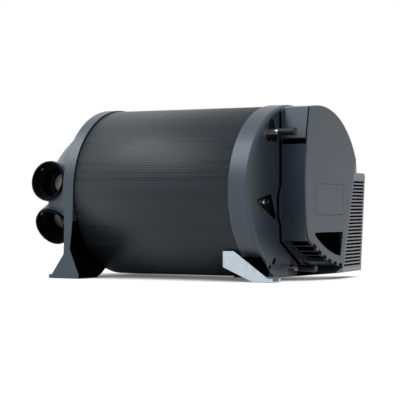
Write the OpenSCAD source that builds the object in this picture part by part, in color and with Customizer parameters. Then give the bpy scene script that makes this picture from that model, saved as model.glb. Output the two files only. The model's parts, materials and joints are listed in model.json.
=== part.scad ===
// Combined air and water heater for a caravan or camper.
// Lengths run along X, the barrel's own axis. X is 0 on the end ring's face, the fan hood is on the +X side
// and the warm air leaves at the -X end. Y points to the rear, Z points up. Angles in the YZ plane are
// measured from +Y towards +Z. All lengths are millimetres.

/* [Barrel] */
// Height of the barrel's axis above the floor
axis_h = 148; // [147.5:0.5:170]
// Length of the jacket between the end plate and the end ring
jacket_l = 310; // [280:1:400]
// Outside radius of the jacket
jacket_r = 144; // [138:0.5:145]
// Thickness of the jacket's sheet
jacket_t = 1.6; // [1:0.1:2.5]

/* [End ring] */
// Width of the ring's band along the barrel
ring_w = 39; // [36:1:50]
// Outside radius of the ring
ring_r = 146; // [145:0.5:147]
// Thickness of the ring's band
ring_t = 3.2; // [2.5:0.1:4]
// Thickness of the ring's face plate
face_t = 3; // [2:0.5:4]

/* [End plate with feet] */
// Thickness of the end plate at the top
plate_t = 22; // [16:1:28]
// Radius of the end plate's arch
plate_r = 146; // [145:0.5:150]
// Half of the width over the feet
foot_half = 158; // [150:1:175]
// Length of a foot along the barrel
foot_l = 63; // [50:1:80]
// Thickness of the neck above a foot
neck_t = 13; // [10:1:16]

/* [Air distributor] */
// Length of the distributor
drum_l = 92; // [80:1:110]
// Radius of the distributor's closed end
drum_end_r = 74; // [66:1:80]
// Radius of the distributor at the end plate
drum_base_r = 130; // [120:1:135]
// Wall of the distributor
drum_t = 3; // [2:0.5:4]
// Outside radius of a warm air outlet
outlet_r = 33.8; // [30:0.1:35]
// Wall of a warm air outlet
outlet_t = 2.5; // [1.5:0.1:4]
// Distance of an outlet's mouth from the axis
outlet_reach = 131; // [128:1:140]
// Angle of the upper outlets above the horizontal
outlet_up = 9; // [8:1:14]
// Angle of the lower outlets below the horizontal
outlet_down = 28; // [28:1:36]

/* [Fan hood] */
// Depth of the hood in front of the ring's face
hood_d = 53; // [51:1:70]
// Radius of the hood's crown
hood_r = 143.5; // [138:0.5:145]
// Wall of the hood
hood_t = 2.5; // [2:0.1:3]
// Distance of the hood's front wall from the axis
hood_front = 37; // [34:1:42]
// Distance of the intake block's rear wall from the axis
block_rear = 192; // [188:1:205]
// Height of the intake block's top above the axis
block_top = 33; // [25:1:40]
// Number of slots in the intake louvre
louvre_slots = 25; // [18:1:25]
// Number of slats in the louvre on the hood's underside
belly_slats = 6; // [5:1:8]

/* [Water] */
// Outside radius of the tank
tank_r = 135; // [120:1:138]
// Radius of the tank's air passage
tank_bore_r = 82; // [82:0.5:90]
// Length of the tank
tank_l = 285; // [250:1:286]
// Thickness of the tank's sheet
tank_t = 1.2; // [0.8:0.1:2]
// Outside radius of a water pipe
pipe_r = 5; // [4:0.1:6]
// Wall of a water pipe
pipe_t = 0.8; // [0.5:0.1:1.5]
// Distance of the hot water pipe from the axis
pipe_rho = 119; // [115:0.5:123]
// How far the water pipes stand out of the ring's face
pipe_out = 42; // [35:1:48]
// Wall of a pipe cap
cap_t = 0.9; // [0.8:0.1:2]
// Length of a pipe cap
cap_l = 33; // [20:1:38]

/* [Burner and exchanger] */
// Outside radius of the exchanger's core
core_r = 52; // [52:0.5:55]
// Number of fins on the exchanger
fin_count = 24; // [16:4:32]
// Thickness of a fin
fin_t = 2.2; // [1.5:0.1:3]
// Outside radius of the fins
fin_r = 76; // [70:1:78]
// Radius of the combustion tube
flame_r = 41; // [36:0.5:43]
// Outside radius of the combustion blower's housing
blower_r = 50; // [49:0.5:52]
// Radius of the exhaust pipe and of the combustion air pipe
flue_r = 12; // [10:0.5:12]
// Distance of the flue pipes' ends behind the axis
flue_reach = 185; // [170:1:188]

/* [Warm air fan] */
// Place of the fan behind the axis
fan_y = 48; // [47:0.5:50]
// Place of the fan above the axis
fan_z = 22; // [20:0.5:26]
// Radius of the fan wheel
fan_r = 67; // [50:1:68]
// Radius of the fan's motor
motor_r = 28; // [20:1:28]
// Number of blades on the fan wheel
fan_blades = 30; // [16:1:36]

/* [Floor bracket] */
// Thickness of the bracket's sheet
bracket_t = 2; // [1.5:0.1:2.5]
// Width of the bracket's foot
bracket_foot = 26; // [22:1:34]
// Height of the bracket's turned up end
bracket_lip = 6; // [4:0.5:10]

/* [Fits] */
// Gap between pieces that sit in each other
fit = 0.15; // [0.1:0.05:0.25]
// Radial clearance of a running shaft
run_fit = 0.05; // [0.02:0.01:0.08]
// Radius of the bracket's screw
screw_r = 2; // [1.5:0.1:2.5]

/* [Hidden] */
$fn = 96;
// A small overlap that makes cuts clean
eps = 1;

// Stations along the axis
x_ring = -ring_w;
x_jacket = x_ring - jacket_l;
x_plate = x_jacket - plate_t;
x_drum = x_plate - drum_l;
floor_z = -axis_h;

// Tank, insulation and the sensor in the tank's end
end_pad = 14;
x_tank = x_jacket + end_pad;
x_tank_end = x_tank + tank_l;
jacket_in = jacket_r - jacket_t;
pad_gap = 2;
pad_bore_r = tank_bore_r + pad_gap;
sensor_rho = 108;
sensor_angle = 60;
sensor_r = 4;
sensor_dip = 30;
sensor_collar = 3;
sensor_head_r = sensor_r + sensor_collar;
sensor_head = 5;

// End ring: edges, seat for the tank, flattened foot and notch for the bracket
band_in = ring_r - ring_t;
ring_edge = 1.5;
ring_round = 6;
seat_t = 3;
seat_gap = 3;
seat_r = tank_r + seat_gap;
pad_lift = 5.5;
pad_z = floor_z + pad_lift;
pad_half = 55;
pad_knee = [78, 14];
pad_angle = 51;
notch_y = -44;
notch_z = -107;
slot_w = 8;
slot_ls = [15, 8];
slot_round = 3.9;
slot_tilt = -42;
slot_places = [[-60, -115], [-74, -124]];

// Exchanger, combustion tube and burner head
core_t = 5;
core_in = core_r - core_t;
core_start = 10;
x_core = x_tank + core_start;
head_back = 42;
x_head = x_tank_end - head_back;
rim_out = 6;
rim_r = core_r + rim_out;
rim_l = 5;
fin_start = 4;
fin_stop = 40;
lobe_t = 3;
lobe_l = 33;
lobe_floor = 5;
port_r = 7;
port_back = 20;
port_lap = 4;
tube_t = 1.5;
tube_l = 190;
head_t = 8;
x_blower = x_head + head_t;
spigot_l = 6;
throat_in = 14;
plug_rho = 29;
plug_r = 4;
plug_collar = 2;
plug_head_r = plug_r + plug_collar;
plug_head = 2;
glow_angle = 90;
glow_dip = 40;
flame_angle = 210;
flame_dip = 25;

// Combustion blower and flue pipes
blower_l = 32;
blower_t = 2.5;
x_blower_end = x_blower + blower_l;
shaft_room = 1;
motor_end = 3;
small_shaft_r = 2;
small_shaft_in = 6;
small_motor_r = 16;
small_motor_l = 30;
small_fan_gap = 4;
small_fan_r = blower_r - blower_t - small_fan_gap;
small_disc_t = 2;
small_hub_r = 7;
small_hub_l = 16;
small_blades = 12;
small_blade = [14, 21, 1.6];
small_blade_in = small_fan_r - small_blade[1] - 1;
exhaust_at = [27, -60];
intake_at = [23, -20];
flue_t = 1.2;
bend_more = 4;
bend_r = flue_r + bend_more;
flue_shift = 3;
flue_x = x_ring / 2 - flue_shift;
bead_gap = 1;
bead_l = 3;
bead_rise = 1.5;

// Overheat switch on the blower
switch_size = [14, 12, 7];
switch_back = 30;

// Warm air fan, its motor, bushes and shroud
fan_at = [fan_y, fan_z];
shaft_r = 3;
spider_r = 30;
arm_w = 10;
arm_count = 3;
arm_lap = 2;
air_hole_r = 64;
motor_l = 38;
bush_l = 6;
bush_t = 2;
fan_gap = 3;
shroud_t = 2;
shroud_r = fan_r + fan_gap + shroud_t;
shroud_short = 9;
shroud_l = hood_d - shroud_short;
fan_x = 5;
fan_short = 12;
fan_l = shroud_l - fan_short;
fan_disc_t = 2;
fan_hub_t = 6;
fan_hub_r = shaft_r + fan_hub_t;
fan_hub_l = 18;
blade_l = 17.4;
blade_t = 1.2;
blade_tilt = 30;
blade_in = fan_r - blade_l;
inlet_in = 19;
inlet_r = fan_r - inlet_in;

// Hood outline: crown circle, belly circle, front wall, roof panel and lip on the ring's face
belly_more = 69.5;
belly_r = hood_r + belly_more;
belly_c = [100, 85];
belly_under = 2;
belly_front = belly_z(-hood_front) - belly_under;
roof_z = 88;
roof_out = 4.8;
roof_in = 4.8;
roof_t = 1.5;
roof_low = [-hood_front - roof_out, roof_z + roof_t];
crown_y = roof_in - hood_front;
roof_high = [crown_y, sqrt(hood_r * hood_r - crown_y * crown_y)];
roof_cross = roof_low[1] + (roof_high[1] - roof_low[1]) * roof_out / (roof_out + roof_in);
groove_w = 2.2;
groove_d = 1.5;
bow_r = 430;
bow_z = 10;
bow_out = 12.7;
lip_t = 4;
lip_w = 1;
lip_foot_y = 27;
lip_drop = 7;
lip_foot = [lip_foot_y, belly_z(lip_foot_y) - lip_drop];
lip_foot_h = 10;
bulge_out = 8;
bulge_z = [8, -8, -40, -56];

// Intake block: its side face is turned and leaned away from the end wall
louvre_turn = 10.8;
louvre_lean = 2.7;
fold_y = 83;
fold_up = -2.5;
belly_base = belly_c[1] - belly_r;
fold = [hood_d, fold_y, belly_base + fold_up];
fold_slope = sin(louvre_lean) / tan(louvre_turn);
keel_h = 9.5;
keel_l = 25;
keel_tip = 1.5;
keel_back = 1;
block_base = belly_base - keel_h;
louvre_t = 3;
louvre_w = 104;
louvre_edge = 3;
louvre_low = 1.5;
louvre_rim = 2;
louvre_base = 3.4;
louvre_cap = 11.5;
louvre_h = block_top - fold[2] - louvre_cap;
louvre_pitch = (louvre_h - louvre_base) / louvre_slots;
louvre_open = 0.576;
louvre_gap = louvre_pitch * louvre_open;
block_round = 9;
apron_l = 23;

// Window in the end wall: flat top, leaning side, blunt flank and an edge that follows the belly
window_top = -68;
window_side = [82.5, 70];
window_flank_c = [50, -76];
window_flank_r = 66;
window_rim = 17.4;

// Slatted underside
slat_edge = 1;
slat_first = 233.7;
slat_last = 260.2;
slat_size = [9, 2];
slat_rib = [8, 2];
belly_side = 3;
belly_stop = 12;
belly_h = 70;
comb_d = 5;
comb_w = 12;

// Service plate on the end wall
service_size = [99, 52];
service_at = [33.5, -13];
service_gap = 0.6;
service_round = 4;
ledge = 3;
ledge_t = 1.5;

// Front cover over the control board
cover_drop = 9.5;
cover_top = roof_z - cover_drop;
cover_t = 1.5;
cover_near = 4.4;
cover_far = 8.5;
board_x = 14;
board_edge = 8;
board_t = 1.6;
board_room = 10;
board_low = belly_front + board_room;
board_h = cover_top - board_room - board_low;
board_gap = 1;
chip_size = [12, 2, 16];
chip_x = 30;
chip_rows = [0.07, 0.32, 0.57, 0.82];
stud_size = 6;
stud_x = 18;
stud_rows = [0.15, 0.79];

// Outlets, as angles in the YZ plane
outlet_x = x_plate - drum_l / 2;
outlet_angles = [180 - outlet_up, 180 + outlet_down, outlet_up, -outlet_down];
boss_t = 1.8;
boss_back = 5;
cheek_back = 1;
cheek_rho = outlet_reach - boss_back - cheek_back;
cheek_l = 2;
cheek_in = 7;
cheek_half = cheek_rho * tan((outlet_up + outlet_down) / 2) - cheek_in;
cheek_turn = (outlet_down - outlet_up) / 2;
socket_l = 19;
socket_rho = outlet_reach - socket_l;
throat_step = 4;
throat_r = outlet_r - throat_step;
neck_l = 14;
drum_round = 12;
drum_turn = 60;
drum_bulge = 6;

// Water pipes, their caps and grommets
hot_angle = 124.5;
cold_in = 7;
hot_at = polar(pipe_rho, hot_angle);
cold_at = [0, cold_in - tank_r];
pipe_places = [hot_at, cold_at];
pipe_in = 15;
cap_end = 4;
cap_x = pipe_out + cap_end + fit - cap_l;
cap_round = 2.5;
cap_edge = 0.5;
grommet_t = 2;
clover_rooms = [6.5, 4];
clover_outs = [10, 6];
clover_leaves = 3;

// Fuel nipple in its pocket
fuel_at = [-81, -17];
fuel_r = 2.5;
fuel_bore_r = 1.3;
fuel_l = 9;
fuel_collar = 2;
pocket_d = 9;
pocket_t = 2;
pocket_corners = [[-112, -16], [-72, -8], [-58, -42]];
pocket_round = 4;

// Floor bracket, and the lug on the ring that it is screwed to
bracket_y = -108.34;
bracket_back = -69;
bracket_slope = -48;
bracket_top = -98;
bracket_low = -124.5;
bracket_foot_x = -12;
bracket_toe = 17;
bracket_end = 25;
bracket_flange = 6;
bracket_lip_w = 6;
bracket_hole_r = 3;
bracket_hole_in = 14;
lug_at = [-36, -90, -116];
lug_w = 20;
lug_lap = 2;
lug_hole = [-28, -80];
lug_depth = 8;
tab_w = 16;

// Feet of the end plate
base_t = 6.5;
splay_z = -50;
neck_top = -99;
neck_low = -107;
neck_out = 8.4;
toe = 5.5;
foot_hole_r = 2.8;
foot_seat_r = 6;
foot_gap = 106;
foot_gap_slope = 40;
arch_z = -131;
plate_mid = x_plate + plate_t / 2;
foot_back = 0.5;
foot_x = plate_mid - foot_back;
foot_hole_in = [9, 25];
foot_hole_x = foot_x - foot_l / 2 + foot_hole_in[0];
foot_hole_y = foot_half - foot_hole_in[1];
plate_room = 0.6;

// Overall box, whose bottom centre is the part's origin
x_mid = (x_drum + hood_d) / 2;
y_mid = (block_rear - foot_half) / 2;

// Point at a distance and an angle in the YZ plane
function polar(r, a) = [r * cos(a), r * sin(a)];

// Height of the hood's belly circle at a place across the hood
function belly_z(y) = belly_c[1] - sqrt(belly_r * belly_r - (y - belly_c[0]) * (y - belly_c[0]));

// Points of an arc about a centre, in the plane of a profile
function arc(c, r, a0, a1, n) = [for (i = [0:n]) c + polar(r, a0 + (a1 - a0) * i / n)];

// Puts the finished piece into the part's frame
module placed() {
    translate([-x_mid, -y_mid, axis_h]) children();
}

// Moves to a place in the YZ plane
module at(p) {
    translate([0, p[0], p[1]]) children();
}

// Extrudes a YZ profile from x0 to x1
module slab(x0, x1) {
    translate([x0, 0, 0]) rotate([90, 0, 90]) linear_extrude(x1 - x0) children();
}

// Revolves a profile of radius and X about the axis
module spin() {
    rotate([0, 90, 0]) rotate_extrude() children();
}

// Solid round bar along X
module rod(x0, x1, r) {
    translate([x0, 0, 0]) rotate([0, 90, 0]) cylinder(h = x1 - x0, r = r);
}

// Round tube along X
module pipe(x0, x1, r_out, r_in) {
    difference() {
        rod(x0, x1, r_out);
        rod(x0 - eps, x1 + eps, r_in);
    }
}

// Frame of one outlet, with its Z axis pointing out of the distributor
module outlet_frame(a) {
    translate([outlet_x, 0, 0]) rotate([a - 90, 0, 0]) children();
}

// Frame of the intake block's side face: X out of the face, Y along the slots, Z up the face
module louvre_frame() {
    translate(fold) rotate([0, louvre_lean, louvre_turn]) children();
}

// Rectangle with round corners about its centre
module round_rect(w, h, r) {
    union() {
        square([w - 2 * r, h], center = true);
        square([w, h - 2 * r], center = true);
        for (sy = [-1, 1], sz = [-1, 1])
            translate([sy * (w / 2 - r), sz * (h / 2 - r)]) circle(r, $fn = 32);
    }
}

// Hole round one of the water pipes: a round middle with leaves about it
module clover(pipe, grow) {
    r = pipe_r + clover_rooms[pipe] + grow;
    translate(pipe_places[pipe]) union() {
        circle(r);
        for (i = [0:clover_leaves - 1])
            translate(polar(clover_outs[pipe], 90 + i * 360 / clover_leaves)) circle(r);
    }
}

// Barrel

module jacket() {
    color("#2c2f31") pipe(x_jacket, x_ring, jacket_r, jacket_in);
}

module insulation_sleeve() {
    color("#d9d4c4") union() {
        pipe(x_jacket, x_ring, jacket_in - fit, tank_r + fit);
        pipe(x_jacket, x_tank, tank_r + eps, tank_bore_r);
    }
}

module insulation_end() {
    color("#d9d4c4") difference() {
        pipe(x_tank_end, x_ring, tank_r, pad_bore_r);
        tank_fittings(x_tank_end - eps, x_ring + eps, fit);
    }
}

// Bars through the tank's end where the pipes and the sensor pass it
module tank_fittings(x0, x1, gap) {
    for (p = pipe_places)
        at(p) rod(x0, x1, pipe_r + gap);
    at(polar(sensor_rho, sensor_angle)) rod(x0, x1, sensor_r + gap);
}

module water_tank() {
    color("silver") difference() {
        pipe(x_tank, x_tank_end, tank_r, tank_bore_r);
        pipe(x_tank + tank_t, x_tank_end - tank_t, tank_r - tank_t, tank_bore_r + tank_t);
        tank_fittings(x_tank_end - tank_t - eps, x_tank_end + eps, run_fit);
    }
}

module water_sensor() {
    color("goldenrod") at(polar(sensor_rho, sensor_angle)) union() {
        rod(x_tank_end - sensor_dip, x_ring + sensor_head, sensor_r);
        rod(x_ring + fit, x_ring + sensor_head, sensor_head_r);
    }
}

// Burner and exchanger

// Every quarter turn one fin reaches the tank and carries the exchanger
function fin_reach(i) = (i % (fin_count / 4) == 0) ? tank_bore_r - fit : fin_r;

module heat_exchanger() {
    color("#b9bdbf") difference() {
        union() {
            rod(x_core, x_head, core_r);
            rod(x_head - rim_l, x_head, rim_r);
            at(exhaust_at) rod(x_head - lobe_l, x_head, flue_r + lobe_t);
            for (i = [0:fin_count - 1])
                rotate([i * 360 / fin_count, 0, 0])
                    translate([x_core + fin_start, core_r - eps, -fin_t / 2])
                        cube([x_head - x_core - fin_start - fin_stop, fin_reach(i) - core_r + eps, fin_t]);
        }
        rod(x_core + core_t, x_head + eps, core_in);
        at(exhaust_at) rod(x_head - lobe_l + lobe_floor, x_head + eps, flue_r - flue_t);
        translate([x_head - port_back, 0, 0])
            rotate([atan2(exhaust_at[1], exhaust_at[0]) - 90, 0, 0])
                translate([0, 0, core_in - port_lap])
                    cylinder(h = norm(exhaust_at) - core_in + port_lap, r = port_r);
    }
}

module combustion_tube() {
    color("#8d8f90") pipe(x_head - tube_l, x_head, flame_r, flame_r - tube_t);
}

module burner_head() {
    color("#8a8d90") difference() {
        union() {
            rod(x_head, x_blower, rim_r);
            rod(x_head - spigot_l, x_head + eps, flame_r - tube_t - fit);
        }
        rod(x_head - spigot_l - eps, x_blower + eps, throat_in);
        at(exhaust_at) rod(x_head - eps, x_blower + eps, flue_r + fit);
        for (a = [glow_angle, flame_angle])
            at(polar(plug_rho, a)) rod(x_head - spigot_l - eps, x_blower + eps, plug_r + fit);
    }
}

// Probe through the burner head, with a collar on its outer side
module burner_probe(a, dip) {
    at(polar(plug_rho, a)) union() {
        rod(x_head - dip, x_blower, plug_r);
        rod(x_blower, x_blower + plug_head, plug_head_r);
    }
}

module glow_plug() {
    color("lightgray") burner_probe(glow_angle, glow_dip);
}

module flame_sensor() {
    color("gainsboro") burner_probe(flame_angle, flame_dip);
}

module blower_housing() {
    color("#6f7478") difference() {
        rod(x_blower, x_blower_end, blower_r);
        rod(x_blower - eps, x_blower_end - blower_t, blower_r - blower_t);
        rod(x_blower, x_blower_end + eps, small_shaft_r + shaft_room);
        at(intake_at) rod(x_blower, x_blower_end + eps, flue_r - flue_t);
    }
}

// Places of the two motors: X is 0 at the end where the shaft leaves and points out of the motor
module at_fan_motor() {
    translate([-face_t, fan_y, fan_z]) children();
}

module at_blower_motor() {
    translate([x_blower_end, 0, 0]) mirror([1, 0, 0]) children();
}

// Motor body with bores for its shaft and two bushes
module motor_body(l, r, shaft) {
    difference() {
        rod(-l, 0, r);
        rod(motor_end - l, eps, shaft + shaft_room);
        rod(motor_end - l, motor_end - l + bush_l, shaft + bush_t + fit);
        rod(-bush_l, eps, shaft + bush_t + fit);
    }
}

// The two bushes of such a motor
module bush_pair(l, shaft) {
    for (x = [motor_end - l, -bush_l])
        pipe(x, x + bush_l, shaft + bush_t, shaft + run_fit);
}

module combustion_motor() {
    color("#a5a9ac") at_blower_motor() motor_body(small_motor_l, small_motor_r, small_shaft_r);
}

module combustion_shaft() {
    color("silver")
        rod(x_blower + small_shaft_in, x_blower_end + small_motor_l - motor_end - shaft_room, small_shaft_r);
}

module combustion_fan() {
    back = x_blower_end - blower_t - small_fan_gap;
    color("#4a4e52") difference() {
        union() {
            rod(back - small_disc_t, back, small_fan_r);
            rod(back - small_hub_l, back, small_hub_r);
            for (i = [0:small_blades - 1])
                rotate([i * 360 / small_blades, 0, 0])
                    translate([back - small_blade[0], small_blade_in, -small_blade[2] / 2]) cube(small_blade);
        }
        rod(back - small_hub_l - eps, back + eps, small_shaft_r + run_fit);
    }
}

// Core of a flue pipe: out of the burner along X, a quarter bend and a straight run to the rear
module flue_core(p, x0, r, over) {
    union() {
        rod(x0 - over, flue_x - bend_r, r);
        translate([flue_x - bend_r, bend_r, 0]) rotate([0, 0, -90])
            rotate_extrude(angle = 90) translate([bend_r, 0]) circle(r);
        translate([flue_x, bend_r, 0]) rotate([-90, 0, 0])
            cylinder(h = flue_reach - p[0] - bend_r + over, r = r);
    }
}

// Flue pipe with a bead outside the ring that stops the hose
module flue_pipe(p, x0) {
    at(p) difference() {
        union() {
            flue_core(p, x0, flue_r, 0);
            translate([flue_x, ring_r + bead_gap - p[0], 0]) rotate([-90, 0, 0])
                cylinder(h = bead_l, r = flue_r + bead_rise);
        }
        flue_core(p, x0, flue_r - flue_t, eps);
    }
}

module exhaust_pipe() {
    color("silver") flue_pipe(exhaust_at, x_head);
}

module combustion_air_pipe() {
    color("#1b1c1d") flue_pipe(intake_at, x_blower_end);
}

module overheat_switch() {
    color("#c8c2b0") translate([x_blower_end - switch_back, -switch_size[1] / 2, blower_r + fit])
        cube(switch_size);
}

// End ring with its face plate

// Rounded triangle round the fuel nipple
module pocket_outline(grow) {
    hull() for (c = pocket_corners) translate(c) circle(pocket_round + grow, $fn = 32);
}

// Outline of the foot that widens the ring below, from its flat bottom up to the ring's middle
module pad_outline() {
    top = polar(ring_r, pad_angle);
    polygon([[-pad_half, pad_z], [pad_half, pad_z], [pad_knee[0], pad_z + pad_knee[1]],
        [top[0], -top[1]], [0, 0], [-top[0], -top[1]], [-pad_knee[0], pad_z + pad_knee[1]]]);
}

// Band with its face plate and its foot
module ring_shell() {
    difference() {
        union() {
            spin() polygon(concat(
                [[0, x_ring], [ring_r - ring_edge, x_ring], [ring_r, x_ring + ring_edge]],
                arc([ring_r - ring_round, -ring_round], ring_round, 0, 90, 6),
                [[0, 0]]));
            slab(x_ring, 0) pad_outline();
        }
        difference() {
            rod(x_ring - eps, -face_t, band_in);
            below(pad_z + ring_t);
        }
    }
}

// Everything round the ring that lies under a height
module below(z) {
    translate([x_ring - 2 * eps, -2 * ring_r, z - ring_r]) cube([ring_w + 4 * eps, 4 * ring_r, ring_r]);
}

// Openings of the fan's intake, with a hub on three arms left standing
module fan_spider() {
    at(fan_at) difference() {
        rod(-face_t - eps, eps, air_hole_r);
        rod(-face_t - 2 * eps, 2 * eps, spider_r);
        for (i = [0:arm_count - 1])
            rotate([90 + i * 360 / arm_count, 0, 0])
                translate([-face_t - 2 * eps, 0, -arm_w / 2])
                    cube([face_t + 4 * eps, air_hole_r + arm_lap, arm_w]);
    }
}

module ring_body() {
    difference() {
        union() {
            ring_shell();
            pipe(x_ring, x_ring + seat_t, band_in + eps, seat_r);
            slab(-pocket_d - pocket_t, -face_t + eps) pocket_outline(pocket_t);
        }
        fan_spider();
        at(fan_at) rod(-face_t - eps, eps, shaft_r + shaft_room);
        for (i = [0:1])
            slab(-face_t - eps, eps) clover(i, 0);
        slab(-pocket_d, eps) pocket_outline(0);
        at(fuel_at) rod(-pocket_d - pocket_t - eps, eps, fuel_r + fit);
        for (i = [0:1])
            at(slot_places[i]) rotate([slot_tilt, 0, 0])
                slab(-face_t - eps, eps) round_rect(slot_w, slot_ls[i], slot_round);
        for (p = [exhaust_at, intake_at])
            translate([flue_x, band_in / 2, p[1]]) rotate([-90, 0, 0]) cylinder(h = ring_r, r = flue_r + fit);
        translate([x_ring - eps, -ring_r - eps, floor_z - eps])
            cube([ring_w - face_t + eps, ring_r + notch_y + eps, axis_h + notch_z + eps]);
        below(pad_z);
    }
}

// Lug behind the face plate, with a blind hole for the bracket's screw
module ring_lug() {
    difference() {
        translate(lug_at) cube([-lug_at[0] - face_t + eps / 2, lug_w, notch_z - lug_at[2] + lug_lap]);
        translate([lug_hole[0], lug_hole[1], lug_at[2] - eps])
            cylinder(h = lug_depth + eps, r = screw_r + run_fit);
    }
}

module end_ring() {
    color("#555c63") union() {
        ring_body();
        ring_lug();
    }
}

// Warm air fan

module fan_motor() {
    color("#a5a9ac") at_fan_motor() motor_body(motor_l, motor_r, shaft_r);
}

module motor_bushes() {
    color("#b08d4a") {
        at_fan_motor() bush_pair(motor_l, shaft_r);
        at_blower_motor() bush_pair(small_motor_l, small_shaft_r);
    }
}

module fan_shaft() {
    color("silver") at(fan_at)
        rod(-face_t - motor_l + motor_end + shaft_room, fan_x + fan_hub_l + fan_disc_t, shaft_r);
}

module air_fan() {
    color("#3a3e42") at(fan_at) difference() {
        union() {
            rod(fan_x, fan_x + fan_disc_t, fan_r);
            rod(fan_x, fan_x + fan_hub_l, fan_hub_r);
            pipe(fan_x + fan_l - fan_disc_t, fan_x + fan_l, fan_r, blade_in);
            for (i = [0:fan_blades - 1])
                rotate([i * 360 / fan_blades, 0, 0])
                    translate([fan_x + fan_disc_t / 2, fan_r - eps, 0]) rotate([blade_tilt, 0, 0])
                        translate([0, -blade_l + eps, -blade_t / 2])
                            cube([fan_l - fan_disc_t, blade_l - 2 * eps, blade_t]);
        }
        rod(fan_x - eps, fan_x + fan_hub_l + eps, shaft_r + run_fit);
    }
}

module fan_shroud() {
    color("#3f4347") at(fan_at) union() {
        pipe(0, shroud_l, shroud_r, shroud_r - shroud_t);
        pipe(shroud_l - shroud_t, shroud_l, shroud_r, inlet_r);
    }
}

// Fan hood

// Outline of the hood's main part, drawn in by a wall
module hood_outline(inset) {
    intersection() {
        circle(hood_r - inset);
        translate(belly_c) circle(belly_r - inset, $fn = 180);
        polygon([[inset - hood_front, -hood_r], [inset - hood_front, roof_cross],
            [inset + crown_y, roof_high[1]], [inset + crown_y, hood_r], [hood_r, hood_r], [hood_r, -hood_r]]);
    }
}

// Outline of the intake block, drawn in by a wall
module block_outline(inset) {
    front = fold[1] - keel_back + inset;
    low = block_base + inset;
    union() {
        translate([front, low]) square([block_rear - inset - front, block_top - block_round - low]);
        translate([front, low]) square([block_rear - block_round - front, block_top - inset - low]);
        translate([block_rear - block_round, block_top - block_round]) circle(block_round - inset, $fn = 32);
        intersection() {
            translate([fold[1] - apron_l + inset, -hood_r]) square([apron_l + hood_t, hood_r]);
            translate(belly_c) circle(belly_r - inset, $fn = 180);
        }
    }
}

// Outline of the keel, a wedge that runs from the block's bottom to the front under the belly
module keel_outline() {
    root = fold[1] - keel_back;
    polygon([[root + eps, block_base], [root - keel_l, block_base], [root - keel_l, block_base + keel_tip],
        [root, belly_base], [root + eps, belly_base]]);
}

// Solid that the hood fills, drawn in by a wall; the open side keeps its full depth
module hood_space(inset, open_by) {
    difference() {
        union() {
            slab(-open_by, hood_d - inset) hood_outline(inset);
            slab(inset, hood_d - inset) block_outline(inset);
        }
        louvre_frame() translate([-inset, -hood_r, -hood_r]) cube([2 * hood_r, 4 * hood_r, 4 * hood_r]);
    }
}

// Opening in the end wall above the belly edge
module corner_window() {
    intersection() {
        polygon([[-hood_front, belly_base], [window_side[1], belly_base], [window_side[0], window_top],
            [-hood_front, window_top]]);
        translate(window_flank_c) circle(window_flank_r, $fn = 120);
        translate(belly_c) circle(belly_r - window_rim, $fn = 180);
    }
}

// Opening in the belly that the slats fill, drawn in by a gap
module belly_window(gap) {
    near = hood_t + slat_edge + gap;
    start = hood_t + belly_side - hood_front + gap;
    end = fold[1] + hood_t + belly_side - belly_stop - gap;
    translate([near, start, belly_base - eps]) cube([hood_d - 2 * near, end - start, belly_h]);
}

// Angle of a slat about the belly's centre
function slat_angle(i) = slat_first + i * (slat_last - slat_first) / (belly_slats - 1);

// Notches between the slats' ends, which leave teeth on the end wall's belly edge
module belly_notches(x0, x1) {
    half = slat_angle(0.5) - slat_angle(0);
    slab(x0, x1) for (i = [0:belly_slats - 1])
        translate(belly_c) rotate(slat_angle(i) + half) translate([belly_r - comb_d, -comb_w / 2])
            square([comb_d + eps, comb_w]);
}

// Front roof panel that overhangs the control cover
module hood_roof() {
    slab(0, hood_d) polygon([[eps - hood_front, roof_cross], [-hood_front, roof_cross], roof_low,
        [roof_low[0], roof_z], [eps - hood_front, roof_z]]);
}

// Groove between the crown and the end wall, along the roof panel and over the top
module roof_groove() {
    slab(hood_d - hood_t - groove_w, hood_d - hood_t) intersection() {
        union() {
            polygon([roof_low - [eps, eps], roof_high - [eps, 0], roof_high + [groove_d, 0],
                roof_low + [groove_d, -eps]]);
            difference() {
                circle(hood_r + eps);
                circle(hood_r - groove_d);
            }
        }
        translate([-hood_r, roof_low[1]]) square([2 * hood_r, hood_r]);
    }
}

// End wall's front edge, a shallow bow that stands out in front of the front wall
module end_wall_bow() {
    slab(hood_d - hood_t, hood_d) intersection() {
        translate([bow_r - hood_front - bow_out, bow_z]) circle(bow_r, $fn = 360);
        translate([-hood_front - 2 * bow_out, belly_front]) square([4 * bow_out, roof_z - belly_front + eps]);
        circle(hood_r);
        translate(belly_c) circle(belly_r, $fn = 180);
    }
}

// Lip that lies on the ring's face in front of the hood, with a bulge beside the fuel pocket
module hood_lip() {
    edge = -hood_front - lip_w;
    slab(0, lip_t) intersection() {
        polygon([[edge, hood_r], [edge, bulge_z[0]], [edge - bulge_out, bulge_z[1]],
            [edge - bulge_out, bulge_z[2]], [edge, bulge_z[3]], [edge, belly_front - 2 * lip_w],
            lip_foot, lip_foot + [0, lip_foot_h], [-hood_front + eps, belly_front + eps],
            [-hood_front + eps, hood_r]]);
        circle(hood_r);
    }
}

module fan_hood() {
    color("#575f66") difference() {
        union() {
            difference() {
                union() {
                    hood_space(0, 0);
                    hood_roof();
                }
                hood_space(hood_t, eps);
            }
            slab(0, hood_d) keel_outline();
            end_wall_bow();
            hood_lip();
        }
        roof_groove();
        belly_notches(hood_d - hood_t - slat_edge - eps, hood_d + eps);
        slab(hood_d - hood_t - eps, hood_d + eps) corner_window();
        slab(hood_d - hood_t - eps, hood_d + eps) translate(service_at)
            round_rect(service_size[0], service_size[1], service_round);
        louvre_frame() louvre_body(fit, eps);
        intersection() {
            belly_window(0);
            hood_space(-eps, eps);
        }
    }
}

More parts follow.
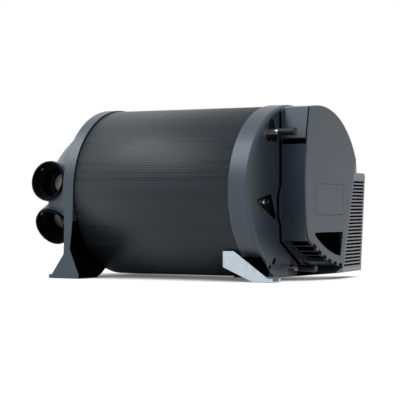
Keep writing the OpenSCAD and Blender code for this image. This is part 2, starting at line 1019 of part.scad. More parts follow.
// Plate of the intake louvre in its own frame, with a slanted front edge
module louvre_body(grow, out) {
    translate([-louvre_t - grow - out, 0, 0]) rotate([90, 0, 90])
        linear_extrude(louvre_t + grow + 2 * out) polygon([
            [fold_slope * louvre_low + louvre_edge - grow, louvre_low - grow],
            [louvre_w + grow, louvre_low - grow],
            [louvre_w + grow, louvre_h + grow],
            [fold_slope * louvre_h + louvre_edge - grow, louvre_h + grow]]);
}

module intake_louvre() {
    color("#596168") louvre_frame() difference() {
        louvre_body(0, 0);
        for (i = [0:louvre_slots - 1]) {
            start = fold_slope * i * louvre_pitch + louvre_edge + louvre_rim;
            translate([-louvre_t - eps, start, i * louvre_pitch + louvre_base])
                cube([louvre_t + 2 * eps, louvre_w - louvre_rim - start, louvre_gap]);
        }
    }
}

// Slats along X between two ribs that follow the belly
module belly_louvre() {
    near = hood_t + slat_edge + fit;
    far = hood_d - near;
    color("#4b5258") difference() {
        intersection() {
            union() {
                for (x = [near, far - slat_rib[1]])
                    slab(x, x + slat_rib[1]) translate(belly_c) difference() {
                        circle(belly_r, $fn = 180);
                        circle(belly_r - slat_rib[0], $fn = 180);
                    }
                for (i = [0:belly_slats - 1])
                    at(belly_c + polar(belly_r - slat_rib[0], slat_angle(i)))
                        translate([near, -slat_size[0], -slat_size[1] / 2])
                            cube([far - near, slat_size[0], slat_size[1]]);
            }
            belly_window(fit);
            hood_space(0, 0);
        }
        belly_notches(far - slat_rib[1] - eps, far + eps);
    }
}

module service_plate() {
    w = service_size[0] - service_gap;
    h = service_size[1] - service_gap;
    color("#5a6269") union() {
        slab(hood_d - hood_t, hood_d) translate(service_at)
            round_rect(w, h, service_round - service_gap / 2);
        slab(hood_d - hood_t - ledge_t, hood_d - hood_t) translate(service_at)
            round_rect(w + 2 * ledge, h + 2 * ledge, service_round);
    }
}

// Solid of the control cover, drawn in by a wall
module cover_space(inset, back) {
    near = lip_t + fit + inset;
    far = hood_d - hood_t - fit - inset;
    translate([0, 0, belly_front + inset]) linear_extrude(cover_top - belly_front - 2 * inset)
        polygon([
            [near, -hood_front + back],
            [near, -hood_front - cover_near + inset],
            [far, -hood_front - cover_far + inset],
            [far, -hood_front + back]]);
}

module control_cover() {
    color("#3c4146") difference() {
        cover_space(0, 0);
        cover_space(cover_t, eps);
    }
}

module control_board() {
    color("#1f5a3a") translate([board_x, -hood_front - board_gap - board_t, board_low])
        cube([hood_d - board_x - board_edge, board_t, board_h]);
}

// Chips on the board's outer side and studs between the board and the hood
module board_parts() {
    y = -hood_front - board_gap - board_t;
    color("#23262a") {
        for (part = chip_rows)
            translate([chip_x, y - chip_size[1], board_low + part * board_h]) cube(chip_size);
        for (part = stud_rows)
            translate([stud_x, y + board_t, board_low + part * board_h])
                cube([stud_size, board_gap, stud_size]);
    }
}

// End plate, distributor and outlets

// Outline of the end plate seen along the barrel
module plate_outline() {
    difference() {
        polygon([[-plate_r, plate_r], [plate_r, plate_r], [plate_r, splay_z], [foot_half, floor_z],
            [-foot_half, floor_z], [-plate_r, splay_z]]);
        difference() {
            translate([-2 * plate_r, 0]) square([4 * plate_r, 2 * plate_r]);
            circle(plate_r);
        }
        polygon([[-foot_gap, floor_z - eps], [-foot_gap + foot_gap_slope, arch_z],
            [foot_gap - foot_gap_slope, arch_z], [foot_gap, floor_z - eps]]);
    }
}

// Outline of the end plate seen from the front: thick at the top, a neck and a flared foot
module plate_flank() {
    top = plate_t / 2;
    low = foot_x - foot_l / 2;
    high = foot_x + foot_l / 2;
    neck = plate_mid + neck_out;
    polygon([[plate_mid - top, plate_r], [plate_mid - top, 0], [neck - neck_t, neck_top],
        [neck - neck_t, neck_low], [low + toe, floor_z + base_t], [low, floor_z + base_t],
        [low, floor_z], [high, floor_z], [high, floor_z + base_t], [neck, neck_top],
        [plate_mid + top, 0], [plate_mid + top, plate_r]]);
}

module end_plate() {
    color("#5b636a") difference() {
        intersection() {
            slab(x_plate - foot_l, x_jacket + foot_l) plate_outline();
            translate([0, foot_half + eps, 0]) rotate([90, 0, 0])
                linear_extrude(2 * foot_half + 2 * eps) plate_flank();
        }
        rod(x_plate - eps, x_jacket + eps, tank_bore_r);
        rod(x_plate - foot_l, x_plate, drum_base_r + plate_room);
        rod(x_jacket, x_jacket + foot_l, jacket_r + plate_room);
        for (s = [-1, 1])
            translate([foot_hole_x, s * foot_hole_y, floor_z]) {
                translate([0, 0, -eps]) cylinder(h = 2 * base_t, r = foot_hole_r);
                translate([0, 0, base_t]) cylinder(h = 4 * base_t, r = foot_seat_r);
            }
    }
}

// Points between two ends of a profile that bulges to its left
function bulged(p, q, rise, n) = [for (i = [1:n - 1])
    let (t = i / n, d = (q - p) / norm(q - p)) p + (q - p) * t + [d[1], -d[0]] * 4 * rise * t * (1 - t)];

// Bulging cone of the distributor, drawn in by its wall
module drum_cone(inset, open_by) {
    end_r = drum_end_r - drum_round - inset;
    nose = arc([end_r, x_drum + drum_round + inset], drum_round, -90, drum_turn - 90, 5);
    rim = [drum_base_r - inset, x_plate];
    spin() polygon(concat([[0, x_drum + inset], [end_r, x_drum + inset]], nose,
        bulged(nose[5], rim, drum_bulge, 6), [rim, rim + [0, open_by], [0, x_plate + open_by]]));
}

module air_distributor() {
    boss_l = outlet_reach - boss_back - throat_r;
    color("#596168") difference() {
        union() {
            drum_cone(0, 0);
            for (a = outlet_angles)
                outlet_frame(a) translate([0, 0, throat_r]) cylinder(h = boss_l, r = outlet_r + boss_t);
            for (a = [180 + cheek_turn, -cheek_turn])
                outlet_frame(a) translate([-cheek_l, -cheek_half, throat_r])
                    cube([cheek_l + drum_l / 2, 2 * cheek_half, cheek_rho - throat_r]);
        }
        drum_cone(drum_t, eps);
        for (a = outlet_angles)
            outlet_frame(a) {
                translate([0, 0, throat_r]) cylinder(h = outlet_reach, r = throat_r);
                translate([0, 0, socket_rho]) cylinder(h = outlet_reach, r = outlet_r + fit);
            }
    }
}

// Sleeve that stands in a boss: a wide mouth and a narrower neck that reaches into the distributor
module warm_outlet(a) {
    neck_r = throat_r - fit;
    color("#131415") outlet_frame(a) translate([0, 0, socket_rho]) rotate_extrude() polygon([
        [neck_r - outlet_t, -neck_l], [neck_r, -neck_l], [neck_r, 0], [outlet_r, 0],
        [outlet_r, socket_l], [outlet_r - outlet_t, socket_l],
        [outlet_r - outlet_t, outlet_t / 2], [neck_r - outlet_t, outlet_t / 2]]);
}

module outlet_front_upper() {
    warm_outlet(outlet_angles[0]);
}

module outlet_front_lower() {
    warm_outlet(outlet_angles[1]);
}

module outlet_rear_upper() {
    warm_outlet(outlet_angles[2]);
}

module outlet_rear_lower() {
    warm_outlet(outlet_angles[3]);
}

// Floor bracket of folded sheet

module floor_bracket() {
    tab_l = lug_at[1] + lug_w - bracket_y;
    tab_z = lug_at[2] - bracket_t;
    color("#c3c9cd") difference() {
        union() {
            translate([0, bracket_y, 0]) rotate([90, 0, 0]) linear_extrude(bracket_t) polygon([
                [bracket_back, bracket_top], [bracket_slope, bracket_top],
                [bracket_toe, floor_z + bracket_flange], [bracket_end, floor_z + bracket_flange],
                [bracket_end, floor_z], [bracket_foot_x, floor_z], [bracket_back, bracket_low]]);
            translate([bracket_foot_x, bracket_y - eps, floor_z])
                cube([bracket_end - bracket_foot_x, bracket_foot + eps, bracket_t]);
            translate([bracket_end - bracket_t, bracket_y + bracket_foot - bracket_lip_w, floor_z])
                cube([bracket_t, bracket_lip_w, bracket_lip]);
            translate([lug_at[0], bracket_y - eps, tab_z]) cube([tab_w, tab_l + eps, bracket_t]);
        }
        translate([bracket_end - bracket_hole_in, bracket_y + bracket_foot / 2, floor_z - eps])
            cylinder(h = bracket_t + 2 * eps, r = bracket_hole_r);
        translate([lug_hole[0], lug_hole[1], tab_z - eps])
            cylinder(h = bracket_t + 2 * eps, r = screw_r + fit);
    }
}

module bracket_screws() {
    color("silver") translate([lug_hole[0], lug_hole[1], lug_at[2] - bracket_t]) union() {
        translate([0, 0, -screw_r]) cylinder(h = screw_r, r = 2 * screw_r);
        cylinder(h = bracket_t + lug_depth - eps, r = screw_r);
    }
}

// Water pipes, caps and fuel line

module water_pipe(p) {
    color("#d5d7d8") at(p) pipe(x_tank_end - pipe_in, pipe_out, pipe_r, pipe_r - pipe_t);
}

module hot_water_pipe() {
    water_pipe(hot_at);
}

module cold_water_pipe() {
    water_pipe(cold_at);
}

module pipe_cap(p) {
    r = pipe_r + fit + cap_t;
    end = cap_x + cap_l;
    color("#151617") at(p) difference() {
        spin() polygon(concat(
            [[0, cap_x], [r - cap_edge, cap_x], [r, cap_x + cap_edge]],
            arc([r - cap_round, end - cap_round], cap_round, 0, 90, 5),
            [[0, end]]));
        rod(cap_x - eps, pipe_out + fit, pipe_r + fit);
    }
}

module hot_pipe_cap() {
    pipe_cap(hot_at);
}

module cold_pipe_cap() {
    pipe_cap(cold_at);
}

module pipe_grommets() {
    color("#0f1011") for (i = [0:1])
        difference() {
            slab(-face_t, -face_t + grommet_t) clover(i, -fit);
            at(pipe_places[i]) rod(-face_t - eps, eps, pipe_r + fit);
        }
}

module fuel_nipple() {
    color("silver") at(fuel_at) difference() {
        union() {
            rod(-pocket_d - pocket_t, fuel_l - pocket_d, fuel_r);
            rod(-pocket_d, -pocket_d + fuel_collar, fuel_r + fuel_collar);
        }
        rod(-pocket_d, fuel_l, fuel_bore_r);
    }
}

placed() jacket();
placed() insulation_sleeve();
placed() insulation_end();
placed() water_tank();
placed() heat_exchanger();
placed() combustion_tube();
placed() burner_head();
placed() glow_plug();
placed() flame_sensor();
placed() blower_housing();
placed() combustion_motor();
placed() combustion_shaft();
placed() combustion_fan();
placed() exhaust_pipe();
placed() combustion_air_pipe();
placed() end_ring();
placed() fan_motor();
placed() fan_shaft();
placed() air_fan();
placed() fan_shroud();
placed() fan_hood();
placed() control_cover();
placed() control_board();
placed() board_parts();
placed() service_plate();
placed() intake_louvre();
placed() belly_louvre();
placed() end_plate();
placed() air_distributor();
placed() outlet_front_upper();
placed() outlet_front_lower();
placed() outlet_rear_upper();
placed() outlet_rear_lower();
placed() floor_bracket();
placed() bracket_screws();
placed() hot_water_pipe();
placed() cold_water_pipe();
placed() hot_pipe_cap();
placed() cold_pipe_cap();
placed() pipe_grommets();
placed() fuel_nipple();
placed() water_sensor();
placed() overheat_switch();
placed() motor_bushes();
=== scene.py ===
# %% [markdown]
# A caravan heater that warms air and water, dressed for a picture.
#
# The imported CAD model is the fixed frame. This lesson keeps the pieces whose shape is already right, gives
# every one of them a finish, and makes new surfaces where the real object has finer forms than the solids:
# the ribbed jacket, the duct sleeves, the pipe caps and the softened edges of the moulded casing.

# %% The frame and its box
import json
from math import pi, radians

import bmesh
import bpy
import numpy as np
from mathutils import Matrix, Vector


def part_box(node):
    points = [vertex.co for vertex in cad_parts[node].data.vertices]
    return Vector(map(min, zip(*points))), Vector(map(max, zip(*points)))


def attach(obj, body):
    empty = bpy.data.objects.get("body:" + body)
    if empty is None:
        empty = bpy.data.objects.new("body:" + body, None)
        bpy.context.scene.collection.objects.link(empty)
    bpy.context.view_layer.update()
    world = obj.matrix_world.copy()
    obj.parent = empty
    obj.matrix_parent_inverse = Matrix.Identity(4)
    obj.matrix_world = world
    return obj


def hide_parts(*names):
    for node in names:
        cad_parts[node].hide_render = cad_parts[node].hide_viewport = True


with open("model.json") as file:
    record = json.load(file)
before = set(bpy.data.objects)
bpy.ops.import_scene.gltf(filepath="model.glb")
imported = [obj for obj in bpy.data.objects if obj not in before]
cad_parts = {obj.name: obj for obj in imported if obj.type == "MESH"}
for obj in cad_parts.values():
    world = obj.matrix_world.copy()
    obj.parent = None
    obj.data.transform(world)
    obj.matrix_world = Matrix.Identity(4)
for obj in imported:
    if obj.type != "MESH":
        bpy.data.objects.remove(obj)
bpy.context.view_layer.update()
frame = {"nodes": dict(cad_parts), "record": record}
MM = 0.001
mounts = {mount["name"]: mount for mount in frame["record"]["mounts"]}

# %% [markdown]
# The barrel is the backbone of the heater, so most sizes are measured from it. Its axis runs along X. The
# jacket's box gives the axis and the radius, and the boxes of the end ring and the end plate give the
# stations along it. Measuring them here keeps the scene in step with the solids.

# %% Stations of the barrel
jacket_lo, jacket_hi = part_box("jacket")
AXIS_Y = round((jacket_lo.y + jacket_hi.y) / 2, 4)
AXIS_Z = round((jacket_lo.z + jacket_hi.z) / 2, 4)
JACKET_R = round((jacket_hi.z - jacket_lo.z) / 2, 4)
RING_FACE = round(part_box("end_ring")[1].x, 4)


def spot(x, y, z):
    """Point in metres from millimetres: x in front of the ring's face, y and z from the barrel's axis."""
    x, y, z = np.broadcast_arrays(x, y, z)
    return np.stack([RING_FACE + x * MM, AXIS_Y + y * MM, AXIS_Z + z * MM], axis=-1)


print("axis", AXIS_Y, AXIS_Z, "jacket radius", JACKET_R, "from", jacket_lo.x, "to", jacket_hi.x)

# %% [markdown]
# The photograph was taken from in front and a third of a turn to the right, with a long lens at the height
# of the barrel's axis. The camera's place and focal length were found by fitting the barrel's ellipses, so
# no shift of the lens is needed.

# %% Camera
CAMERA_AT = Vector((1.6023, -2.5166, 0.1303))
CAMERA_AIM = Vector((0.0219, -0.017, 0.1342))
camera_data = bpy.data.cameras.new("camera")
camera_data.lens = 153.2
camera_data.sensor_width = 36.0
camera_data.clip_end = 100.0
camera = bpy.data.objects.new("camera", camera_data)
camera.location = CAMERA_AT
camera.rotation_euler = (CAMERA_AIM - CAMERA_AT).to_track_quat("-Z", "Y").to_euler()
bpy.context.scene.collection.objects.link(camera)
bpy.context.scene.camera = camera
bpy.context.scene.view_settings.view_transform = "Standard"
print("camera at", [round(value, 3) for value in CAMERA_AT])

# %% [markdown]
# Shader maths reads best as plain expressions. A Wire holds one output socket, and each operator on it adds
# one Math node, so 1 - mask * 0.4 builds the nodes it says. A Finish is one material: its method node() adds
# any node, sets its settings first and then its sockets, and feed() plugs a result into the surface.

# %% Wire and Finish
class Wire:
    """One shader value; operators on it add Math nodes to the same finish."""

    def __init__(self, finish, socket):
        self.finish = finish
        self.socket = socket

    def maths(self, operation, *values):
        return self.finish.node("ShaderNodeMath", {"operation": operation}, dict(enumerate(values)))

    def __add__(self, other):
        return self.maths("ADD", self, other)

    def __sub__(self, other):
        return self.maths("SUBTRACT", self, other)

    def __rsub__(self, other):
        return self.maths("SUBTRACT", other, self)

    def __mul__(self, other):
        return self.maths("MULTIPLY", self, other)

    def over(self, edge, width):
        """0 below edge, 1 above edge + width, a smooth step between."""
        return self.finish.node(
            "ShaderNodeMapRange", {"interpolation_type": "SMOOTHSTEP"},
            {"Value": self, "From Min": edge, "From Max": edge + width})

    __radd__ = __add__
    __rmul__ = __mul__


class Finish:
    """One material with a Principled surface; constants are set on the surface's own sockets."""

    def __init__(self, name, **constants):
        self.material = bpy.data.materials.new(name)
        self.material.use_nodes = True
        self.tree = self.material.node_tree
        self.surface = self.tree.nodes["Principled BSDF"]
        for socket, value in constants.items():
            self.surface.inputs[socket.replace("_", " ")].default_value = value
        self.place = self.node("ShaderNodeTexCoord", {}, {}, "Object")

    def node(self, kind, settings, sockets, output=0):
        """Adds a node: settings first, then the values or links of its sockets."""
        made = self.tree.nodes.new(kind)
        for name, value in settings.items():
            setattr(made, name, value)
        for key, value in sockets.items():
            if isinstance(value, Wire):
                self.tree.links.new(value.socket, made.inputs[key])
            else:
                made.inputs[key].default_value = value
        return Wire(self, made.outputs[output])

    def noise(self, scale, detail=3.0, rough=0.5, place=None):
        """Fractal noise between about 0.2 and 0.8; scale is in waves a metre."""
        return self.node("ShaderNodeTexNoise", {}, {
            "Vector": place or self.place, "Scale": scale, "Detail": detail, "Roughness": rough}, "Fac")

    def stretched(self, x, y, z):
        """Object coordinates scaled by x, y and z, for patterns drawn out along one axis."""
        return self.node("ShaderNodeMapping", {}, {"Vector": self.place, "Scale": (x, y, z)})

    def blend(self, share, first, second):
        """Colour that goes from first to second as share goes from 0 to 1."""
        return self.node("ShaderNodeMix", {"data_type": "RGBA"}, {0: share, 6: first, 7: second}, 2)

    def feed(self, socket, wire):
        self.tree.links.new(wire.socket, self.surface.inputs[socket])

    def relief(self, height, depth, strength=1.0):
        """Bump of the given depth in metres from a height between 0 and 1."""
        self.feed("Normal", self.node("ShaderNodeBump", {}, {
            "Height": height, "Distance": depth, "Strength": strength}, "Normal"))


def grey(level, blue=0.0):
    """Opaque linear grey with a little blue, as a socket colour."""
    return (level * (1 - blue), level, level * (1 + blue), 1.0)


finishes = {}
print("shader helpers ready")

# %% [markdown]
# The casing is moulded in slate grey plastic with a fine spark eroded grain, the kind that looks satin from
# a distance. Real mouldings vary a little in shade and shine where the plastic flowed, so a slow noise
# changes both, and a fast noise gives the grain its relief.

# %% Moulded casing
casing = Finish("casing_grey", IOR=1.46, Specular_IOR_Level=0.6, Specular_Tint=(0.86, 0.94, 1.0, 1))
flow = casing.noise(7.0, 2.0)
grain = casing.noise(1700.0, 2.0, 0.6)
shade = casing.blend(flow.over(0.3, 0.4), (0.069, 0.094, 0.122, 1), (0.078, 0.104, 0.133, 1))
casing.feed("Base Color", casing.blend(grain.over(0.35, 0.3) * 0.35, shade, (0.088, 0.116, 0.146, 1)))
casing.feed("Roughness", 0.28 + flow * 0.08 + grain * 0.06)
casing.relief(grain, 0.00006)
finishes["casing_grey"] = casing
print("casing:", len(casing.tree.nodes), "nodes")

# %% [markdown]
# The jacket is painted sheet, near black, with a dry sheen. Fine lines run along it. They are real ribs in
# the mesh below; here each rib takes its own slight shade from an attribute, and a noise drawn out along X
# gives the paint its streaks.

# %% Jacket paint
jacket_paint = Finish("jacket_paint", IOR=1.4, Specular_IOR_Level=0.4, Specular_Tint=(0.88, 0.95, 1.0, 1))
streaks = jacket_paint.noise(420.0, 3.0, 0.6, jacket_paint.stretched(0.03, 1, 1))
tone = jacket_paint.node("ShaderNodeAttribute", {"attribute_name": "rib_tone"}, {}, "Fac")
paint_share = tone * 0.7 + streaks * 0.3
jacket_paint.feed("Base Color", jacket_paint.blend(
    paint_share.over(0.2, 0.6), (0.024, 0.030, 0.036, 1), (0.038, 0.046, 0.054, 1)))
jacket_paint.feed("Roughness", 0.34 + paint_share * 0.14)
jacket_paint.relief(streaks, 0.00004)
finishes["jacket_paint"] = jacket_paint
print("jacket paint:", len(jacket_paint.tree.nodes), "nodes")

# %% [markdown]
# Duct sleeves, fan wheels and the combustion air pipe are black plastic; pipe caps and grommets are black
# rubber, and the same rubber black is painted shade in the jacket's gap and the fuel pocket. The sleeves are
# so dark that the white studio would fog them, so their reflection level is set low on the surface itself,
# and noise moves the shine a little. A still darker black with open cells is painted shade wherever only
# shade
# falls: in the hood, in its groove and slots, and in the gaps round the ring and the end plate.

# %% Black plastic and rubber
black_plastic = Finish("black_plastic", IOR=1.3, Specular_IOR_Level=0.12)
haze = black_plastic.noise(60.0, 4.0)
black_plastic.feed("Base Color", black_plastic.blend(haze, grey(0.0035, 0.04), grey(0.008, 0.04)))
black_plastic.feed("Roughness", 0.38 + haze * 0.2)
black_plastic.relief(black_plastic.noise(1400.0, 2.0), 0.00004)
finishes["black_plastic"] = black_plastic

soft_black = Finish("soft_black", IOR=1.4, Specular_IOR_Level=0.35)
bloom = soft_black.noise(180.0, 4.0, 0.6)
soft_black.feed("Base Color", soft_black.blend(bloom.over(0.35, 0.4), grey(0.003, 0.06), grey(0.009, 0.06)))
soft_black.feed("Roughness", 0.24 + bloom * 0.2)
soft_black.relief(bloom, 0.00005)
finishes["soft_black"] = soft_black

# Painted shade: this near black with open cells is laid where only shade falls.
painted_shade_black = Finish("painted_shade_black", IOR=1.2, Specular_IOR_Level=0.0)
pores = painted_shade_black.node("ShaderNodeTexVoronoi", {"feature": "F1"}, {
    "Vector": painted_shade_black.place, "Scale": 600.0}, "Distance")
painted_shade_black.feed("Base Color", painted_shade_black.blend(pores.over(0.1, 0.6), grey(0.0012), grey(0.004)))
painted_shade_black.feed("Roughness", 0.9 + pores * 0.1)
painted_shade_black.relief(pores, 0.0004)
print("blacks:", sum(len(item.tree.nodes) for item in (black_plastic, soft_black, painted_shade_black)), "nodes")

# %% [markdown]
# Bare metals come next. Drawn steel tube shows streaks along its length, zinc coated sheet shows crystals
# of a few millimetres, and cast aluminium is dull and pitted. One pattern each is enough: a stretched
# noise, a Voronoi cell and a coarse noise.

# %% Bare metals
stainless = Finish("stainless", Metallic=1.0)
drawn = stainless.noise(900.0, 3.0, 0.6, stainless.stretched(0.05, 1, 1))
stainless.feed("Base Color", stainless.blend(drawn, grey(0.62), grey(0.78, 0.01)))
stainless.feed("Roughness", 0.16 + drawn * 0.16)
stainless.relief(drawn, 0.00002)
finishes["stainless"] = stainless

zinc_sheet = Finish("zinc_sheet", Metallic=1.0)
spangle = zinc_sheet.node("ShaderNodeTexVoronoi", {"feature": "F1"}, {
    "Vector": zinc_sheet.place, "Scale": 190.0, "Randomness": 1.0}, "Color")
crystal = zinc_sheet.node("ShaderNodeSeparateColor", {}, {"Color": spangle})
rolled = zinc_sheet.noise(260.0, 4.0, 0.6)
zinc_sheet.feed("Base Color", zinc_sheet.blend(
    crystal * 0.5 + rolled * 0.5, (0.34, 0.40, 0.45, 1), (0.47, 0.53, 0.58, 1)))
zinc_sheet.feed("Roughness", 0.36 + crystal * 0.06 + rolled * 0.06)
zinc_sheet.relief(crystal * 0.3 + rolled, 0.00002)
finishes["zinc_sheet"] = zinc_sheet

cast_aluminium = Finish("cast_aluminium", Metallic=1.0)
pits = cast_aluminium.noise(380.0, 5.0, 0.65)
cast_aluminium.feed("Base Color", cast_aluminium.blend(pits, grey(0.42, 0.01), grey(0.58, 0.01)))
cast_aluminium.feed("Roughness", 0.45 + pits * 0.25)
cast_aluminium.relief(pits, 0.00015)
finishes["cast_aluminium"] = cast_aluminium
print("metals:", sum(len(item.tree.nodes) for item in (stainless, zinc_sheet, cast_aluminium)), "nodes")

# %% [markdown]
# The rest is inside and shows only through openings or once a cover is off: painted motor cans, foam round
# the tank, the green circuit board, brass bushes and sensor, and a ceramic switch.

# %% Inner finishes
motor_steel = Finish("motor_steel", Metallic=0.6)
can = motor_steel.noise(300.0, 4.0, 0.6, motor_steel.stretched(1, 0.2, 0.2))
motor_steel.feed("Base Color", motor_steel.blend(can, grey(0.24, 0.02), grey(0.34, 0.02)))
motor_steel.feed("Roughness", 0.32 + can * 0.2)
finishes["motor_steel"] = motor_steel

foam = Finish("foam", Specular_IOR_Level=0.2)
cells = foam.node("ShaderNodeTexVoronoi", {"feature": "F1"}, {
    "Vector": foam.place, "Scale": 420.0}, "Distance")
foam.feed("Base Color", foam.blend(cells.over(0.1, 0.6), (0.78, 0.75, 0.66, 1), (0.58, 0.55, 0.47, 1)))
foam.feed("Roughness", 0.8 + cells * 0.15)
foam.relief(cells, 0.0006)
finishes["foam"] = foam

board_green = Finish("board_green", Coat_Roughness=0.2)
weave = board_green.noise(700.0, 3.0)
traces = board_green.noise(160.0, 1.0, 0.5, board_green.stretched(1, 1, 4)).over(0.52, 0.03)
board_green.feed("Base Color", board_green.blend(traces, (0.010, 0.085, 0.042, 1), (0.020, 0.15, 0.07, 1)))
board_green.feed("Roughness", 0.3 + weave * 0.2)
board_green.feed("Coat Weight", 0.2 + traces * 0.3)
finishes["board_green"] = board_green

sensor_brass = Finish("sensor_brass", Metallic=1.0)
turning = sensor_brass.noise(1200.0, 2.0, 0.5, sensor_brass.stretched(1, 0.1, 0.1))
sensor_brass.feed("Base Color", sensor_brass.blend(turning, (0.46, 0.31, 0.11, 1), (0.70, 0.52, 0.22, 1)))
sensor_brass.feed("Roughness", 0.25 + turning * 0.2)
finishes["sensor_brass"] = sensor_brass

switch_body = Finish("switch_body", Specular_IOR_Level=0.4)
speck = switch_body.noise(900.0, 3.0)
switch_body.feed("Base Color", switch_body.blend(speck, (0.58, 0.54, 0.44, 1), (0.72, 0.68, 0.58, 1)))
switch_body.feed("Roughness", 0.5 + speck * 0.2)
finishes["switch_body"] = switch_body
print("finishes:", ", ".join(sorted(finishes)))

# %% [markdown]
# Every CAD node takes the finish of its own material slot, so nothing is left in a flat colour, whether or
# not a new surface stands for it later.

# %% Finishes on the CAD nodes
slot_of = {part["node"]: part["material_slot"] for part in frame["record"]["subparts"]}
for node_name, node_object in frame["nodes"].items():
    node_object.data.materials.clear()
    node_object.data.materials.append(finishes[slot_of[node_name]].material)
print(len(slot_of), "nodes have a finish")

# %% [markdown]
# Two helpers make all new surfaces. The first lays a mesh over a grid of points. The second turns a profile
# about an axis, which is how caps, sleeves and rings are made on a lathe. A third rounds the corners of a
# profile, because no moulded or turned edge is truly sharp.

# %% Grid, lathe and rounded corners
def surface(name, grid, finish, around=(False, False), sharp=38.0):
    """Mesh over points grid[i, j]: quads join neighbours, and an axis that goes around joins its ends."""
    rows, columns = grid.shape[:2]
    index = np.arange(rows * columns).reshape(rows, columns)
    if around[0]:
        index = np.concatenate([index, index[:1]], axis=0)
    if around[1]:
        index = np.concatenate([index, index[:, :1]], axis=1)
    quads = np.stack([index[:-1, :-1], index[:-1, 1:], index[1:, 1:], index[1:, :-1]], axis=-1)
    mesh = bpy.data.meshes.new(name)
    mesh.from_pydata(grid.reshape(-1, 3), [], quads.reshape(-1, 4).tolist())
    return settled(name, mesh, finish, sharp)


def settled(name, mesh, finish, sharp=38.0):
    """Merges doubled points, turns the faces outwards, shades smooth and links the object at the origin."""
    shape = bmesh.new()
    shape.from_mesh(mesh)
    bmesh.ops.remove_doubles(shape, verts=shape.verts, dist=1e-6)
    bmesh.ops.dissolve_degenerate(shape, edges=shape.edges, dist=1e-7)
    bmesh.ops.recalc_face_normals(shape, faces=shape.faces)
    shape.to_mesh(mesh)
    shape.free()
    mesh.shade_smooth()
    mesh.set_sharp_from_angle(angle=radians(sharp))
    mesh.materials.append(finish.material)
    made = bpy.data.objects.new(name, mesh)
    bpy.context.scene.collection.objects.link(made)
    return made


def rounded(corners, radius, steps=4):
    """Closed profile with each corner replaced by a parabola between points radius away along its edges."""
    points = np.array(corners, float)
    to_last = np.roll(points, 1, axis=0) - points
    to_next = np.roll(points, -1, axis=0) - points
    last_l = np.linalg.norm(to_last, axis=1, keepdims=True)
    next_l = np.linalg.norm(to_next, axis=1, keepdims=True)
    start = points + to_last / last_l * np.minimum(radius, 0.45 * last_l)
    end = points + to_next / next_l * np.minimum(radius, 0.45 * next_l)
    share = np.linspace(0, 1, steps + 1)[None, :, None]
    arcs = (1 - share) ** 2 * start[:, None] + share ** 2 * end[:, None]
    arcs += 2 * share * (1 - share) * points[:, None]
    return arcs.reshape(-1, 2)


def turned(name, profile, centre, axis, finish, steps=96, sharp=38.0):
    """Revolves a closed profile of radius and distance: point = centre + distance * axis + radius * spoke."""
    axis = np.array(axis, float) / np.linalg.norm(axis)
    spoke = np.array([1.0, 0, 0]) if abs(axis[0]) < 0.7 else np.array([0, 0, 1.0])
    side = np.cross(axis, spoke)
    turn = np.linspace(0, 2 * pi, steps, endpoint=False)
    spokes = np.cos(turn)[:, None] * spoke + np.sin(turn)[:, None] * side
    profile = np.array(profile, float)
    grid = (np.array(centre, float) + profile[:, None, 1:] * axis + profile[:, None, :1] * spokes[None])
    return surface(name, grid, finish, (True, True), sharp)


def ridden(piece, body, node=None):
    """Ties a piece to the body it moves with and hides the CAD node that it stands for."""
    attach(piece, body)
    if node:
        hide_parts(node)


print("surface helpers ready")

# %% [markdown]
# The jacket is a rolled sheet whose surface carries about two hundred fine ribs along the barrel. They could
# be bump alone, but ribs in the mesh also break up the outline and the highlight. The radius dips between
# ribs, every rib has its own height and tone from a seeded generator, and the sheet stops short of the end
# plate, where a black ring of painted shade fills the gap.

# %% Ribbed jacket
RIBS = 205
RIB_STEPS = 6
RIB_DEPTH = 0.2 * MM
JACKET_GAP = 2.7 * MM
dice = np.random.default_rng(7)
rib_height = dice.uniform(0.45, 1.0, RIBS)
rib_tone = np.clip(dice.normal(0.5, 0.22, RIBS), 0, 1)
turn = np.linspace(0, 2 * pi, RIBS * RIB_STEPS, endpoint=False)
rib_of = np.arange(RIBS * RIB_STEPS) // RIB_STEPS
phase = (np.arange(RIBS * RIB_STEPS) % RIB_STEPS) / RIB_STEPS
outer = JACKET_R - RIB_DEPTH * (1 - rib_height[rib_of] * np.sin(pi * phase) ** 0.8)
inner = np.full_like(outer, JACKET_R - 1.6 * MM)
sheet_from = jacket_lo.x + JACKET_GAP
sheet_to = jacket_hi.x - 0.05 * MM
edge = 0.4 * MM
stations = np.array([sheet_from, sheet_from, sheet_from + edge, sheet_to - edge, sheet_to, sheet_to])
radii = np.stack([inner, outer - edge, outer, outer, outer - edge, inner])
spokes = np.stack([np.zeros_like(turn), -np.cos(turn), np.sin(turn)], axis=-1)
grid = radii[:, :, None] * spokes[None] + np.array([0, AXIS_Y, AXIS_Z])
grid[:, :, 0] = stations[:, None]
jacket = surface("jacket_sheet", grid, jacket_paint, (True, True), 60.0)
tone_layer = jacket.data.attributes.new("rib_tone", "FLOAT", "POINT")
tone_layer.data.foreach_set("value", np.tile(rib_tone[rib_of], len(stations)).astype(np.float32))
ridden(jacket, "heater", "jacket")
print("jacket:", len(jacket.data.polygons), "faces,", RIBS, "ribs")

# %% [markdown]
# Between the jacket and the end plate lies a narrow gap, and a black ring in it is painted shade, so the gap
# shows as a black groove that follows the edge. It is a plain turned ring, a little lower than the jacket.

# %% Painted shade in the jacket's gap
gap_shade_r = JACKET_R - 1.1 * MM
# Painted shade: the ring's black stands for the shade in the narrow gap.
gap_shade_ring = turned("jacket_gap_shade", rounded(
    [(JACKET_R - 1.55 * MM, jacket_lo.x), (gap_shade_r, jacket_lo.x),
     (gap_shade_r, sheet_from - 0.1 * MM), (JACKET_R - 1.55 * MM, sheet_from - 0.1 * MM)], 0.1 * MM, 2),
    (0, AXIS_Y, AXIS_Z), (1, 0, 0), soft_black, 192)
ridden(gap_shade_ring, "heater")
print("seal:", len(gap_shade_ring.data.polygons), "faces")

